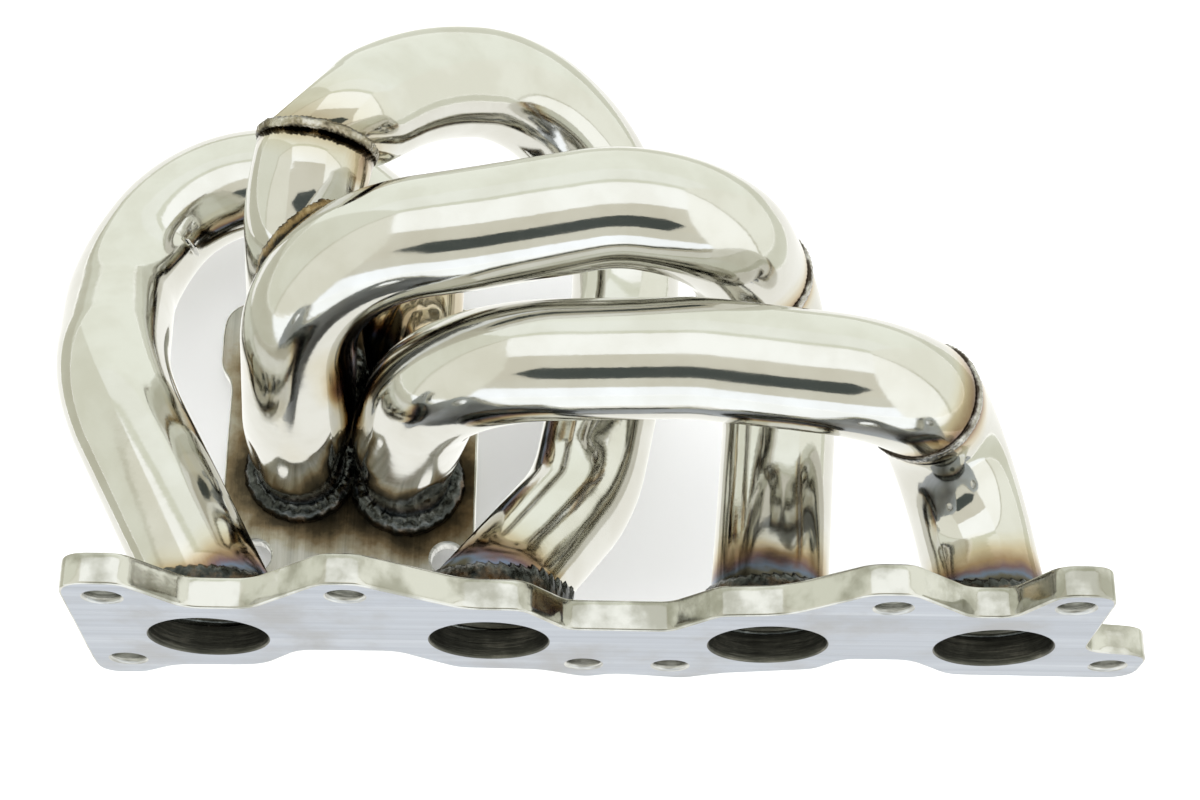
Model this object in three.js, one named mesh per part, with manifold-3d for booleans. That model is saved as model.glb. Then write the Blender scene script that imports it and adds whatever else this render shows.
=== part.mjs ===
import * as THREE from 'three';
import Module from 'manifold-3d';

// Four-into-one tubular exhaust manifold, millimetres, +Z up.
// The cylinder-head face is the plane y = 0, and the runners leave it towards +Y.

// Tube stock
const TUBE_R = 19.05;
const WALL = 2;
const FOOT_R = 15.5;
const GAP = 0.3;
const BEND_STEP = Math.PI / 11;
const TUBE_SIDES = 16;

// Cylinder-head flange
const HEAD_T = 10;
const EDGE_BREAK = 0.7;
const PORT_R = 19;
const STUD_HOLE_R = 5.5;
const PORTS = [[-126, 0], [-36.4, 0], [53.1, 0], [126, 0]];
const STUD_HOLES = [
  [-153, 38.2], [-155.8, -25.1], [-79, 42.3], [-5.6, -24],
  [23, -24.4], [88, 38.9], [143.6, 41.5], [167, -17.5],
];
// Outline corners: x, z, corner radius
const HEAD_OUTLINE = [
  [-165.3, 51.2, 12], [-146, 51.2, 9], [-129, 29.6, 10], [-110, 29.6, 12], [-86, 54, 10],
  [-75, 54, 9], [-43, 32.3, 20], [-25, 32.2, 10], [-11.5, 13.4, 8], [21, 13.1, 8],
  [35.5, 29, 8], [56, 31, 24], [80, 52, 12], [93, 52, 10], [113.5, 31.6, 9],
  [126.5, 32, 8], [137, 53, 9], [155, 53, 10], [155.6, -1.5, 9], [178.3, -5.5, 10],
  [178.3, -31.5, 11], [116, -30.3, 12], [101, -14.5, 12], [79.5, -14.5, 9], [71, -26.5, 10],
  [41, -32.5, 20], [28, -38.8, 9], [16, -36.6, 24], [4, -34.8, 24], [-5, -39.2, 9],
  [-20, -31.2, 20], [-47.5, -30.4, 12], [-67, -13, 12], [-98.5, -13.4, 10],
  [-112, -30.6, 16], [-141, -31.6, 16], [-153, -41, 12], [-168, -40.5, 13], [-167.6, -18, 40],
];

// Turbine flange
const TURB_Z = -60;
const TURB_T = 7;
const TURB_HOLE_R = 5.75;
const TURB_HOLES = [[-122, 49], [-54, 49], [-122, 137], [-54, 137]];
const TURB_OUTLINE = [
  [-135, 37, 12], [-44.5, 37, 10], [-44.5, 148.5, 12], [-84, 148.5, 20], [-94, 145.5, 20],
  [-108, 148.5, 12], [-139.5, 149.5, 15], [-139.5, 122, 10], [-135, 116, 14],
];

// Bend tables: x, y, z of each corner and the bend radius there
const RUNNER_1 = [
  [-124, 10, 3, 0], [-166, 88, 0, 60], [-173, 145, -36, 48.5], [-134, 215, -39, 46.5],
  [-69.5, 155, -31, 30], [-68, 117, -22, 21], [-68, 117, -60, 0],
];
const RUNNER_2_LOWER = [
  [-39, 10, 1, 0], [-6, 61, -27, 45], [10, 146.5, -27, 60], [-10.5, 210.5, -2, 55],
  [-68, 181.5, 43, 105], [-93.5, 148, 60, 0],
];
const RUNNER_2_DROP = [
  [-93.5, 148, 60, 0], [-99, 129.2, 49.8, 22], [-103.5, 122, 0, 40],
  [-105, 118.5, -40, 40], [-105, 118.5, -60, 0],
];
const RUNNER_3_PATH = [
  [53.5, 10, 0, 0], [63, 118, -15, 38], [35, 117, 68, 38], [2, 119.5, 73, 60],
  [-49, 109, 73, 60], [-97.5, 106, 63, 55], [-103, 85, -5, 35],
  [-107, 82, -40, 40], [-107, 82, -60, 0],
];
const RUNNER_4_PATH = [
  [126, 10, 0, 0], [118.5, 73.5, -6, 38], [93, 66.5, 60, 37.5], [27, 74.5, 58, 80],
  [-53, 74.5, 52, 50], [-66, 76.5, -12, 30], [-69, 78, -40, 40],
  [-69, 78, -60, 0],
];
const RUNNER_3_JOINT = 131;
const RUNNER_4_JOINT = 92;
const NECK_LENGTH = 48;
const FEET = [[-68, 117], [-105, 118.5], [-107, 82], [-69, 78]];

const vec = (p) => new THREE.Vector3(p[0], p[1], p[2]);
const smooth = (k) => k * k * (3 - 2 * k);

// Centreline of a bend table: straight runs joined by tangent arcs
function centreline(table) {
  const pts = [vec(table[0])];
  for (let i = 1; i < table.length - 1; i += 1) {
    const corner = vec(table[i]);
    const back = vec(table[i - 1]).sub(corner).normalize();
    const ahead = vec(table[i + 1]).sub(corner).normalize();
    const between = back.angleTo(ahead);
    const turn = Math.PI - between;
    const radius = table[i][3];
    const centre = back.clone().add(ahead).normalize().multiplyScalar(radius / Math.sin(between / 2)).add(corner);
    const from = corner.clone().addScaledVector(back, radius / Math.tan(between / 2)).sub(centre);
    const axis = back.clone().negate().cross(ahead).normalize();
    const steps = Math.max(2, Math.ceil(turn / BEND_STEP));
    for (let k = 0; k <= steps; k += 1) {
      pts.push(from.clone().applyAxisAngle(axis, (turn * k) / steps).add(centre));
    }
  }
  pts.push(vec(table[table.length - 1]));
  return pts;
}

const stationsOf = (line) => {
  const s = [0];
  for (let i = 1; i < line.length; i += 1) {
    s.push(s[i - 1] + line[i].distanceTo(line[i - 1]));
  }
  return s;
};

// Centreline cut in two at the station nearest to a distance along it
function cutLine(line, at) {
  const s = stationsOf(line);
  const nearest = s.reduce((best, v, i) => (Math.abs(v - at) < Math.abs(s[best] - at) ? i : best), 0);
  return [line.slice(0, nearest + 1), line.slice(nearest).map((p) => p.clone())];
}

// Extra stations along a straight run, so that a neck can taper smoothly
function refineEnd(line, length, step) {
  const s = stationsOf(line);
  const total = s[s.length - 1];
  const out = [];
  for (let i = 0; i < line.length; i += 1) {
    out.push(line[i]);
    const run = (s[i + 1] ?? s[i]) - s[i];
    const parts = s[i + 1] > total - length ? Math.ceil(run / step) : 1;
    for (let k = 1; k < parts; k += 1) {
      out.push(line[i].clone().lerp(line[i + 1], k / parts));
    }
  }
  return out;
}

// Direction and steady sideways vectors at every station
function framesOf(line) {
  const dirs = line.map((p, i) => {
    const a = line[Math.max(0, i - 1)];
    const b = line[Math.min(line.length - 1, i + 1)];
    return b.clone().sub(a).normalize();
  });
  let side = Math.abs(dirs[0].z) < 0.9 ? new THREE.Vector3(0, 0, 1) : new THREE.Vector3(0, 1, 0);
  return dirs.map((d) => {
    side = side.clone().addScaledVector(d, -side.dot(d)).normalize();
    return { dir: d, u: side.clone(), v: d.clone().cross(side) };
  });
}

const ringPoint = (centre, frame, radius, angle) => centre.clone()
  .addScaledVector(frame.u, radius * Math.cos(angle))
  .addScaledVector(frame.v, radius * Math.sin(angle));

// Closed body from equal polygons set round a loop
function loopBody(sections) {
  const n = sections.length;
  const m = sections[0].length;
  const pos = [];
  sections.forEach((section) => section.forEach((p) => pos.push(p.x, p.y, p.z)));
  const index = [];
  for (let i = 0; i < n; i += 1) {
    for (let j = 0; j < m; j += 1) {
      const a = i * m + j;
      const b = i * m + ((j + 1) % m);
      const c = ((i + 1) % n) * m + j;
      const d = ((i + 1) % n) * m + ((j + 1) % m);
      index.push(a, c, b, b, c, d);
    }
  }
  return outward(pos, index);
}

// Indexed geometry with its faces turned outwards
function outward(pos, index) {
  let volume = 0;
  const at = (i) => new THREE.Vector3(pos[3 * i], pos[3 * i + 1], pos[3 * i + 2]);
  for (let t = 0; t < index.length; t += 3) {
    volume += at(index[t]).dot(at(index[t + 1]).cross(at(index[t + 2])));
  }
  const faces = volume > 0 ? index : index.slice().reverse();
  const geometry = new THREE.BufferGeometry();
  geometry.setAttribute('position', new THREE.Float32BufferAttribute(pos, 3));
  geometry.setIndex(faces);
  return geometry;
}

const neckRadius = (fromEnd, radius) => {
  const k = Math.min(1, Math.max(0, 1 - fromEnd / NECK_LENGTH));
  return radius - (TUBE_R - FOOT_R) * smooth(k);
};

const slideTo = (q, dir, cut) => {
  const along = cut.point.clone().sub(q).dot(cut.normal) / dir.dot(cut.normal);
  return q.addScaledVector(dir, along);
};

// Wall points of a tube: rings[i][j], its ends sliding onto flat cuts, its foot necked if asked
function tubeRings(line, radius, { startCut, endCut, neck = false }) {
  const frames = framesOf(line);
  const s = stationsOf(line);
  const last = line.length - 1;
  return line.map((p, i) => {
    const r = neck ? neckRadius(s[last] - s[i], radius) : radius;
    const ring = [];
    for (let j = 0; j < TUBE_SIDES; j += 1) {
      const q = ringPoint(p, frames[i], r, (2 * Math.PI * j) / TUBE_SIDES);
      if (i === 0) {
        slideTo(q, frames[0].dir, startCut);
      }
      if (i === last) {
        slideTo(q, frames[last].dir, endCut);
      }
      ring.push(q);
    }
    return ring;
  });
}

function hollowTube(line, options) {
  const outer = tubeRings(line, TUBE_R, options);
  const inner = tubeRings(line, TUBE_R - WALL, options);
  const sections = [];
  for (let j = 0; j < TUBE_SIDES; j += 1) {
    sections.push([...outer.map((ring) => ring[j]), ...inner.map((ring) => ring[j]).reverse()]);
  }
  return loopBody(sections);
}

// Solid rod with the tube's outside, used to cope one tube round another
function solidRod(line, radius, options) {
  const rings = tubeRings(line, radius, options);
  const pos = [];
  rings.flat().forEach((p) => pos.push(p.x, p.y, p.z));
  const index = [];
  for (let i = 0; i < rings.length - 1; i += 1) {
    for (let j = 0; j < TUBE_SIDES; j += 1) {
      const a = i * TUBE_SIDES + j;
      const b = i * TUBE_SIDES + ((j + 1) % TUBE_SIDES);
      index.push(a, a + TUBE_SIDES, b, b, a + TUBE_SIDES, b + TUBE_SIDES);
    }
  }
  const last = (rings.length - 1) * TUBE_SIDES;
  for (let j = 1; j < TUBE_SIDES - 1; j += 1) {
    index.push(0, j, j + 1);
    index.push(last, last + j + 1, last + j);
  }
  return outward(pos, index);
}

// Weld bead where a runner meets the head flange: follows the slanted footprint
function portBead(line) {
  const WIDTH = 3.4;
  const HEIGHT = 3.8;
  const SIDES = 18;
  const d = line[1].clone().sub(line[0]).normalize();
  const frame = framesOf(line)[0];
  const middle = line[0].clone();
  const sections = [];
  for (let j = 0; j < SIDES; j += 1) {
    const angle = (2 * Math.PI * j) / SIDES;
    const wall = ringPoint(middle, frame, TUBE_R + GAP, angle);
    const base = wall.clone().addScaledVector(d, (HEAD_T + GAP - wall.y) / d.y);
    const out = wall.clone().sub(middle);
    out.y = 0;
    out.normalize();
    const rise = new THREE.Vector3(0, 1, 0);
    const top = base.clone().addScaledVector(d, HEIGHT);
    const foot = base.clone().addScaledVector(out, WIDTH);
    const low = foot.clone().addScaledVector(rise, 1.2).addScaledVector(out, -0.5);
    const high = top.clone().addScaledVector(out, 1.2).addScaledVector(rise, -0.7);
    sections.push([base, foot, low, high, top]);
  }
  return loopBody(sections);
}

// Weld bead round the foot of a necked runner, standing on the turbine flange
function footBead([x, y]) {
  const SIDES = 18;
  const centre = new THREE.Vector3(x, y, TURB_Z + GAP);
  const frame = { u: new THREE.Vector3(1, 0, 0), v: new THREE.Vector3(0, 1, 0) };
  const sections = [];
  for (let j = 0; j < SIDES; j += 1) {
    const angle = (2 * Math.PI * j) / SIDES;
    sections.push(FOOT_BEAD.map(([out, up]) => {
      const q = ringPoint(centre, frame, FOOT_R + GAP + out, angle);
      q.z += up;
      return q;
    }));
  }
  return loopBody(sections);
}

// Weld bead over a joint between two sections, following the mitre between them
function jointBead({ point, normal, before, after }) {
  const SIDES = 18;
  const frame = framesOf([point, point.clone().add(before)])[0];
  const sections = [];
  for (let j = 0; j < SIDES; j += 1) {
    const angle = (2 * Math.PI * j) / SIDES;
    const wall = slideTo(ringPoint(point, frame, TUBE_R + GAP, angle), before, { point, normal });
    const out = wall.clone().sub(point).normalize();
    sections.push(JOINT_BEAD.map(([along, high]) => wall.clone()
      .addScaledVector(along < 0 ? before : after, along)
      .addScaledVector(out, high)));
  }
  return loopBody(sections);
}

// Bead sections: along the tube and out from its wall, then out and up at a foot
const JOINT_BEAD = [[-2.6, 0], [-2.2, 0.8], [0, 1.4], [2.2, 0.8], [2.6, 0], [0, 0]];
const FOOT_BEAD = [[0, 0], [2.1, 0], [1.9, 1.4], [1.2, 3.2], [0.1, 4.2]];

// Rounded outline from corners with radii
function outline(drawn) {
  const shape = new THREE.Shape();
  const turning = THREE.ShapeUtils.area(drawn.map(([x, y]) => new THREE.Vector2(x, y)));
  const corners = turning > 0 ? drawn : drawn.slice().reverse();
  const n = corners.length;
  const flat = (i) => new THREE.Vector2(corners[(i + n) % n][0], corners[(i + n) % n][1]);
  for (let i = 0; i < n; i += 1) {
    const corner = flat(i);
    const back = flat(i - 1).sub(corner);
    const ahead = flat(i + 1).sub(corner);
    const cosine = back.dot(ahead) / (back.length() * ahead.length());
    const half = Math.acos(Math.max(-1, Math.min(1, cosine))) / 2;
    const wanted = corners[i][2] / Math.tan(half);
    const reach = Math.min(wanted, 0.48 * back.length(), 0.48 * ahead.length());
    const start = corner.clone().addScaledVector(back.normalize(), reach);
    const end = corner.clone().addScaledVector(ahead.normalize(), reach);
    if (i === 0) {
      shape.moveTo(start.x, start.y);
    } else {
      shape.lineTo(start.x, start.y);
    }
    shape.quadraticCurveTo(corner.x, corner.y, end.x, end.y);
  }
  shape.closePath();
  return shape;
}

function circleHole(x, y, r, sides) {
  const points = [];
  for (let k = 0; k < sides; k += 1) {
    const angle = (-2 * Math.PI * k) / sides;
    points.push(new THREE.Vector2(x + r * Math.cos(angle), y + r * Math.sin(angle)));
  }
  return new THREE.Path().setFromPoints(points);
}

function headFlange() {
  const shape = outline(HEAD_OUTLINE);
  PORTS.forEach(([x, z]) => shape.holes.push(circleHole(x, z, PORT_R + EDGE_BREAK, 28)));
  STUD_HOLES.forEach(([x, z]) => shape.holes.push(circleHole(x, z, STUD_HOLE_R + EDGE_BREAK, 16)));
  const geometry = new THREE.ExtrudeGeometry(shape, {
    depth: HEAD_T - 2 * EDGE_BREAK,
    curveSegments: 4,
    bevelEnabled: true,
    bevelThickness: EDGE_BREAK,
    bevelSize: EDGE_BREAK,
    bevelOffset: -EDGE_BREAK,
    bevelSegments: 1,
  });
  geometry.translate(0, 0, EDGE_BREAK);
  // Drawn in x, z; turned so that the plate's depth runs along +Y
  geometry.applyMatrix4(new THREE.Matrix4().set(1, 0, 0, 0, 0, 0, 1, 0, 0, 1, 0, 0, 0, 0, 0, 1));
  return mirrored(geometry);
}

// A swap of two axes turns faces inside out, so their order is reversed
function mirrored(geometry) {
  const flat = geometry.index ? geometry.toNonIndexed() : geometry;
  const p = flat.attributes.position;
  const pos = [];
  for (let t = 0; t < p.count; t += 3) {
    [t, t + 2, t + 1].forEach((i) => pos.push(p.getX(i), p.getY(i), p.getZ(i)));
  }
  const out = new THREE.BufferGeometry();
  out.setAttribute('position', new THREE.Float32BufferAttribute(pos, 3));
  return out;
}

function turbineFlange() {
  const shape = outline(TURB_OUTLINE);
  TURB_HOLES.forEach(([x, y]) => shape.holes.push(circleHole(x, y, TURB_HOLE_R, 16)));
  FEET.forEach(([x, y]) => shape.holes.push(circleHole(x, y, FOOT_R - WALL, 24)));
  const geometry = new THREE.ExtrudeGeometry(shape, { depth: TURB_T, curveSegments: 5, bevelEnabled: false });
  geometry.translate(0, 0, TURB_Z - TURB_T);
  return geometry;
}

const wasm = await Module();
wasm.setup();

function weldVertices(geometry) {
  const seen = new Map();
  const pos = [];
  const index = [];
  const p = geometry.attributes.position;
  const count = geometry.index ? geometry.index.count : p.count;
  for (let k = 0; k < count; k += 1) {
    const i = geometry.index ? geometry.index.getX(k) : k;
    const key = [p.getX(i), p.getY(i), p.getZ(i)].map((v) => Math.round(v * 1e4)).join();
    if (!seen.has(key)) {
      seen.set(key, pos.length / 3);
      pos.push(p.getX(i), p.getY(i), p.getZ(i));
    }
    index.push(seen.get(key));
  }
  return { pos, index };
}

function toManifold(geometry) {
  const { pos, index } = weldVertices(geometry);
  return new wasm.Manifold(new wasm.Mesh({
    numProp: 3,
    vertProperties: Float32Array.from(pos),
    triVerts: Uint32Array.from(index),
  }));
}

function fromManifold(body) {
  const mesh = body.getMesh();
  return outward(Array.from(mesh.vertProperties), Array.from(mesh.triVerts));
}

// The largest single piece left after cutting tools from a body
function cutLargest(geometry, tools) {
  const body = tools.reduce((rest, tool) => rest.subtract(tool), toManifold(geometry));
  const pieces = body.decompose();
  pieces.sort((a, b) => b.volume() - a.volume());
  return fromManifold(pieces[0]);
}

// Runner centrelines, cut into the sections that were welded end to end
const footEnd = (line) => {
  const end = line[line.length - 1];
  end.z += GAP;
  return refineEnd(line, NECK_LENGTH, 9);
};
const line1 = footEnd(centreline(RUNNER_1));
const line2Lower = centreline(RUNNER_2_LOWER);
const line2Drop = footEnd(centreline(RUNNER_2_DROP));
const [line3Elbow, line3Upper] = cutLine(footEnd(centreline(RUNNER_3_PATH)), RUNNER_3_JOINT);
const [line4Elbow, line4Upper] = cutLine(footEnd(centreline(RUNNER_4_PATH)), RUNNER_4_JOINT);

const startDir = (line) => line[1].clone().sub(line[0]).normalize();
const endDir = (line) => line[line.length - 1].clone().sub(line[line.length - 2]).normalize();

// Mitre plane shared by two sections, and the cut each one gets
function jointOf(lineBefore, lineAfter) {
  const before = endDir(lineBefore);
  const after = startDir(lineAfter);
  return { point: lineAfter[0], normal: before.clone().add(after).normalize(), before, after };
}
const cutBefore = ({ point, normal }) => ({ point: point.clone().addScaledVector(normal, -GAP), normal });
const cutAfter = ({ point, normal }) => ({ point: point.clone().addScaledVector(normal, GAP), normal });
const joint2 = jointOf(line2Lower, line2Drop);
const joint3 = jointOf(line3Elbow, line3Upper);
const joint4 = jointOf(line4Elbow, line4Upper);
const headCut = { point: new THREE.Vector3(0, HEAD_T + GAP, 0), normal: new THREE.Vector3(0, 1, 0) };
const footCut = { point: new THREE.Vector3(0, 0, TURB_Z + GAP), normal: new THREE.Vector3(0, 0, -1) };

const group = new THREE.Group();
group.name = 'exhaust_manifold';

const FINISH = {
  polished: { color: 0xd9d5c4, roughness: 0.12, metalness: 1 },
  ground: { color: 0xc3c6cb, roughness: 0.35, metalness: 1 },
  plate: { color: 0x9b958a, roughness: 0.45, metalness: 1 },
  bead: { color: 0x55565a, roughness: 0.5, metalness: 1 },
};

function add(name, geometry, finish) {
  const mesh = new THREE.Mesh(geometry, new THREE.MeshStandardMaterial(FINISH[finish]));
  geometry.computeVertexNormals();
  mesh.name = name;
  group.add(mesh);
}

add('head_flange', headFlange(), 'ground');
add('turbine_flange', turbineFlange(), 'plate');

add('runner1_tube', hollowTube(line1, { startCut: headCut, endCut: footCut, neck: true }), 'polished');
[[2, 'lower_tube', line2Lower, joint2], [3, 'elbow', line3Elbow, joint3], [4, 'elbow', line4Elbow, joint4]]
  .forEach(([n, part, line, joint]) => {
    const cuts = { startCut: headCut, endCut: cutBefore(joint) };
    add(`runner${n}_${part}`, hollowTube(line, cuts), 'polished');
  });
const upper3 = { startCut: cutAfter(joint3), endCut: footCut, neck: true };
add('runner3_upper_tube', hollowTube(line3Upper, upper3), 'polished');
add('runner4_upper_tube', hollowTube(line4Upper, { ...upper3, startCut: cutAfter(joint4) }), 'polished');

// Runner 2 drops behind runner 3 and is coped round it
const clear3 = toManifold(solidRod(line3Upper, TUBE_R + GAP, upper3));
const drop = hollowTube(line2Drop, { ...upper3, startCut: cutAfter(joint2) });
add('runner2_drop_tube', cutLargest(drop, [clear3]), 'polished');

[line1, line2Lower, line3Elbow, line4Elbow].forEach((line, i) => {
  add(`port${i + 1}_weld`, portBead(line), 'bead');
});
FEET.forEach((foot, i) => add(`foot${i + 1}_weld`, footBead(foot), 'bead'));
[joint2, joint3, joint4].forEach((joint, i) => {
  add(`runner${i + 2}_joint_weld`, jointBead(joint), 'bead');
});

export default group;
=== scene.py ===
import math

import bmesh
import bpy
import numpy as np
from mathutils import Matrix, Vector, geometry, noise


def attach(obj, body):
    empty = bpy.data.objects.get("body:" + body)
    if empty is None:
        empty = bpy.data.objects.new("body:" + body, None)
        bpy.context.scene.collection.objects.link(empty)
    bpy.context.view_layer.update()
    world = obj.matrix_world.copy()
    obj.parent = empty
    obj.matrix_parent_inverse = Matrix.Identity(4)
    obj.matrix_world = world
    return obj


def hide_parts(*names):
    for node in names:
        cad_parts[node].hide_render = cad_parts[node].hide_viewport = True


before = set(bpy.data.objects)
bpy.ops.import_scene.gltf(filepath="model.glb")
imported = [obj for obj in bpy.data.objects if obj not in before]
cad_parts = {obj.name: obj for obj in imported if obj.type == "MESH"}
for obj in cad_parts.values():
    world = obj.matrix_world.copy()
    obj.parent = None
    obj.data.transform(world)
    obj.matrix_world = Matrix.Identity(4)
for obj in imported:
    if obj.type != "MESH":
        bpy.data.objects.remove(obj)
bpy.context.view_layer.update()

# Sizes in millimetres, as in the CAD source; mesh_object() turns them into metres
MM = 0.001
TUBE_R = 19.05
WALL = 2.0
FOOT_R = 15.5
# Lengths over which a tube narrows to its foot, and over which its end is formed to an oval
NECK = 48.0
FORMED = 30.0
HEAD_T = 10.0
PORT_R = 19.0
STUD_R = 5.5
PORT_BEAD_HEIGHTS = [6.0, 10.0, 7.5, 7.0]
SEAM_LIFT = 1.4
CUTTER_ROOM = 0.1
TURB_Z = -60.0
TURB_T = 7.0
TURB_STUD_R = 5.75
INLET_R = 13.5
GAP = 0.3
FLOOR_Z = TURB_Z - TURB_T - 0.2
TUBE_SIDES = 96
BEAD_SIDES = 20
BEAD_STEP = 0.45
RIM_STEP = 1.1
FACET_DEPTH = 1.3
UP = np.array([0.0, 0.0, 1.0])
BACK = np.array([0.0, 1.0, 0.0])

# Bend tables: corner x, y, z and bend radius
RUNNER_1 = [
    (-124, 10, 3, 0), (-166, 88, 0, 60), (-173, 145, -36, 48.5), (-134, 215, -39, 46.5),
    (-69.5, 155, -31, 30), (-68, 117, -22, 21), (-68, 117, -60, 0),
]
RUNNER_2_LOWER = [
    (-39, 10, 1, 0), (-6, 61, -27, 45), (10, 146.5, -27, 60), (-10.5, 210.5, -2, 55),
    (-68, 181.5, 43, 105), (-93.5, 148, 60, 0),
]
RUNNER_2_DROP = [
    (-93.5, 148, 60, 0), (-99, 129.2, 49.8, 22), (-103.5, 122, 0, 40),
    (-105, 118.5, -40, 40), (-105, 118.5, -60, 0),
]
RUNNER_3 = [
    (53.5, 10, 0, 0), (63, 118, -15, 38), (35, 117, 68, 38), (2, 119.5, 73, 60),
    (-49, 109, 73, 60), (-97.5, 106, 63, 55), (-103, 85, -5, 35),
    (-107, 82, -40, 40), (-107, 82, -60, 0),
]
RUNNER_4 = [
    (126, 10, 0, 0), (118.5, 73.5, -6, 38), (93, 66.5, 60, 37.5), (27, 74.5, 58, 80),
    (-53, 74.5, 52, 50), (-66, 76.5, -12, 30), (-69, 78, -40, 40), (-69, 78, -60, 0),
]
# Joints between elbow and upper tube, as lengths along the runner from the head plate
RUNNER_3_JOINT = 131.0
RUNNER_4_JOINT = 92.0

PORTS = [(-126, 0), (-36.4, 0), (53.1, 0), (126, 0)]
STUD_HOLES = [
    (-153, 38.2), (-155.8, -25.1), (-79, 42.3), (-5.6, -24),
    (23, -24.4), (88, 38.9), (143.6, 41.5), (167, -17.5),
]
FEET = [(-68, 117), (-105, 118.5), (-107, 82), (-69, 78)]
TURB_HOLES = [(-122, 49), (-54, 49), (-122, 137), (-54, 137)]

# Plate outlines: corner and the radius that rounds it
HEAD_OUTLINE = [
    (-165.3, 51.2, 12), (-146, 51.2, 9), (-129, 29.6, 10), (-110, 29.6, 12), (-86, 54, 10),
    (-75, 54, 9), (-43, 32.3, 20), (-25, 32.2, 10), (-11.5, 13.4, 8), (21, 13.1, 8),
    (35.5, 29, 8), (56, 31, 24), (80, 52, 12), (93, 52, 10), (113.5, 31.6, 9),
    (126.5, 32, 8), (137, 53, 9), (155, 53, 10), (155.6, -1.5, 9), (178.3, -5.5, 10),
    (178.3, -31.5, 11), (116, -30.3, 12), (101, -14.5, 12), (79.5, -14.5, 9), (71, -26.5, 10),
    (41, -32.5, 20), (28, -38.8, 9), (16, -36.6, 24), (4, -34.8, 24), (-5, -39.2, 9),
    (-20, -31.2, 20), (-47.5, -30.4, 12), (-67, -13, 12), (-98.5, -13.4, 10),
    (-112, -30.6, 16), (-141, -31.6, 16), (-153, -41, 12), (-168, -40.5, 13), (-167.6, -18, 40),
]
TURB_OUTLINE = [
    (-135, 37, 12), (-44.5, 37, 10), (-44.5, 148.5, 12), (-84, 148.5, 20), (-94, 145.5, 20),
    (-108, 148.5, 12), (-139.5, 149.5, 15), (-139.5, 122, 10), (-135, 116, 14),
]


# ---------- mesh helpers ----------


def unit(v):
    return v / np.linalg.norm(v)


def grain(p, scale, seed=0.0):
    """Smooth noise between about -1 and 1 at a point in millimetres."""
    return noise.noise(Vector((p[0] * scale + seed, p[1] * scale - seed, p[2] * scale + 2 * seed)))


def mesh_object(name, verts, faces, materials, slots=None, heat=None, flat=()):
    """Object from points in millimetres. flat lists the material slots shaded flat."""
    mesh = bpy.data.meshes.new(name)
    mesh.from_pydata([tuple(v) for v in np.asarray(verts) * MM], [], faces)
    for material in materials:
        mesh.materials.append(material)
    mesh.polygons.foreach_set("use_smooth", [True] * len(mesh.polygons))
    if slots is not None:
        mesh.polygons.foreach_set("material_index", slots)
        for polygon in mesh.polygons:
            polygon.use_smooth = polygon.material_index not in flat
    if heat is not None:
        attribute = mesh.attributes.new("tint_and_shade_control", "FLOAT", "POINT")
        attribute.data.foreach_set("value", np.asarray(heat, np.float32))
    bm = bmesh.new()
    bm.from_mesh(mesh)
    bmesh.ops.recalc_face_normals(bm, faces=bm.faces)
    bm.to_mesh(mesh)
    bm.free()
    obj = bpy.data.objects.new(name, mesh)
    bpy.context.scene.collection.objects.link(obj)
    return obj


def hand_in(obj, slot, *nodes):
    """Puts a piece on the one rigid body, in place of its CAD nodes."""
    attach(obj, "root")
    if nodes:
        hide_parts(*nodes)


def grid_faces(rows, columns, close_rows=True):
    """Quads between rings of points, each ring closed on itself."""
    faces = []
    for i in range(rows if close_rows else rows - 1):
        below = ((i + 1) % rows) * columns
        for j in range(columns):
            k = (j + 1) % columns
            faces.append((i * columns + j, i * columns + k, below + k, below + j))
    return faces


# ---------- centrelines ----------


def centreline(table, step=1.6, turn_step=math.radians(2.2)):
    """Straight runs joined by tangent arcs."""
    pts = [np.array(table[0][:3], float)]

    def run_to(p):
        start = pts[-1]
        gap = np.linalg.norm(p - start)
        count = round(gap / step)
        if gap < 1e-6:
            return
        for k in range(1, max(1, count) + 1):
            pts.append(start + (p - start) * k / max(1, count))

    for before, here, after in zip(table, table[1:], table[2:]):
        corner = np.array(here[:3], float)
        back = unit(np.array(before[:3], float) - corner)
        ahead = unit(np.array(after[:3], float) - corner)
        between = math.acos(max(-1.0, min(1.0, float(back @ ahead))))
        radius = here[3]
        centre = corner + unit(back + ahead) * radius / math.sin(between / 2)
        start = corner + back * radius / math.tan(between / 2)
        run_to(start)
        turn = math.pi - between
        steps = max(3, round(turn / turn_step))
        for k in range(1, steps + 1):
            a = turn * k / steps
            pts.append(centre + math.cos(a) * (start - centre) - radius * math.sin(a) * back)
    run_to(np.array(table[-1][:3], float))
    return np.array(pts)


def lengths(line):
    """How far along the line each point is."""
    return np.r_[0, np.cumsum(np.linalg.norm(np.diff(line, axis=0), axis=1))]


def split(line, distance):
    """The line before and after a distance along it."""
    s = lengths(line)
    k = int(np.searchsorted(s, distance))
    at = line[k - 1] + (line[k] - line[k - 1]) * (distance - s[k - 1]) / (s[k] - s[k - 1])
    keep = slice(k + 1, None) if s[k] - distance < 0.4 else slice(k, None)
    return np.vstack([line[:k], at]), np.vstack([at, line[keep]])


def directions(line, closed=False):
    """Unit tangent at each point of the line."""
    ahead = np.roll(line, -1, 0) - np.roll(line, 1, 0) if closed else np.gradient(line, axis=0)
    return ahead / np.linalg.norm(ahead, axis=1)[:, None]


def steady_sides(dirs):
    """Sideways vectors that don't twist along the line."""
    side = UP if abs(dirs[0][2]) < 0.9 else BACK
    us = []
    for d in dirs:
        side = unit(side - d * (side @ d))
        us.append(side)
    us = np.array(us)
    return us, np.cross(dirs, us)


# ---------- tubes ----------


def slide(q, direction, plane):
    """Point q moved along direction into the plane (point, normal)."""
    point, normal = plane
    return q + direction * ((point - q) @ normal) / (direction @ normal)


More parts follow.
